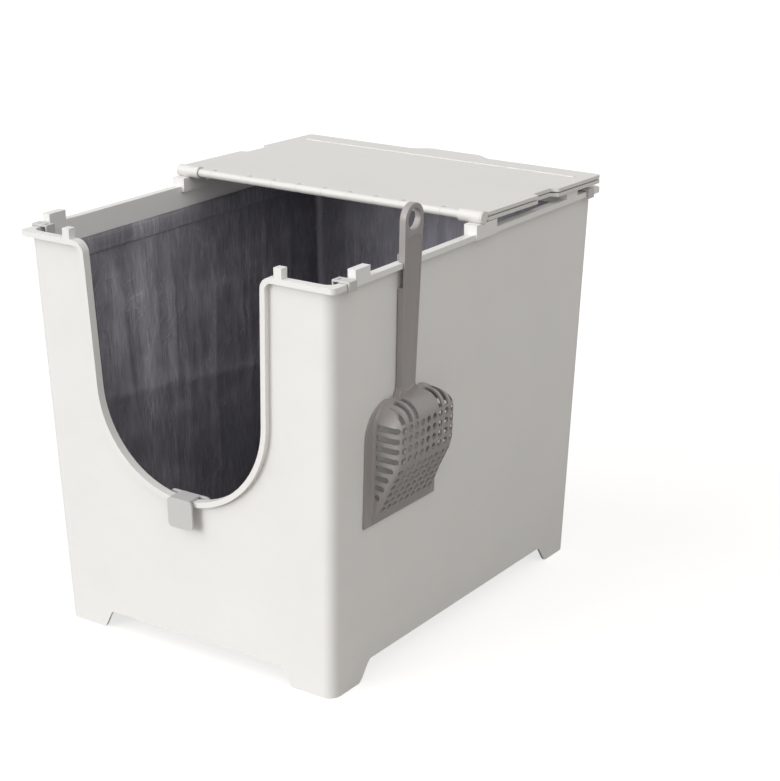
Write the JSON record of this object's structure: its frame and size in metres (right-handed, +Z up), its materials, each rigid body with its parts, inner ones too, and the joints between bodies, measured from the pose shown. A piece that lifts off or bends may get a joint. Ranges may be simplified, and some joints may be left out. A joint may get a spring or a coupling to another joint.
{
  "type": "litter box",
  "caption": "Tall rectangular litter box with a U-shaped front entry, folding lid resting over the rear half, fabric liner held by clips, and a sifting scoop hung on the rim.",
  "frame": {"origin": "On the ground, at the middle of the object's footprint box at rest.", "axes": "+X to the right seen from the entry, towards the hanging scoop; +Y to the rear, away from the entry; +Z up."},
  "size_m": [0.4373, 0.5369, 0.5112],
  "materials": {
    "shell": "satin moulded polypropylene, warm white",
    "lid": "satin moulded polypropylene, warm off-white",
    "clip": "satin moulded plastic, light grey",
    "scoop": "satin moulded plastic, warm mid-grey",
    "liner": "coated woven cloth, dark grey with a slight sheen",
    "rod": "plain drawn wire"
  },
  "bodies": {
    "bin": {"bin_shell": "shell", "liner_floor": "liner", "liner_left": "liner", "liner_right": "liner", "liner_rear": "liner", "liner_front": "liner", "liner_hem": "liner", "liner_entry_binding": "liner", "strap_front_left": "liner", "strap_front_right": "liner", "strap_rear_left": "liner", "strap_rear_right": "liner", "clip_front_left": "clip", "clip_front_right": "clip", "clip_rear_left": "clip", "clip_rear_right": "clip"},
    "lid_rear": {"lid_rear_leaf": "lid", "hinge_rod": "rod", "hinge_cap_left": "lid", "hinge_cap_right": "lid"},
    "lid_front": {"lid_front_leaf": "lid"},
    "scoop": {"scoop": "scoop"},
    "front_clip": {"front_clip": "clip"}
  },
  "joints": [
    {"name": "lid_lift_off", "type": "slide", "parent": "bin", "child": "lid_rear", "axis": [0, 0, 1], "range_m": [0, 0.12]},
    {"name": "front_leaf_swing", "type": "hinge", "parent": "lid_rear", "child": "lid_front", "pos_m": [-0.01011, -0.0005, 0.46805], "axis": [1, 0, 0], "range_deg": [0, 181.2]},
    {"name": "scoop_unhook", "type": "slide", "parent": "bin", "child": "scoop", "axis": [0.2873, 0, 0.9578], "range_m": [0, 0.3]},
    {"name": "front_clip_pull", "type": "slide", "parent": "bin", "child": "front_clip", "axis": [0, -0.0338, 0.9994], "range_m": [0, 0.05]}
  ]
}
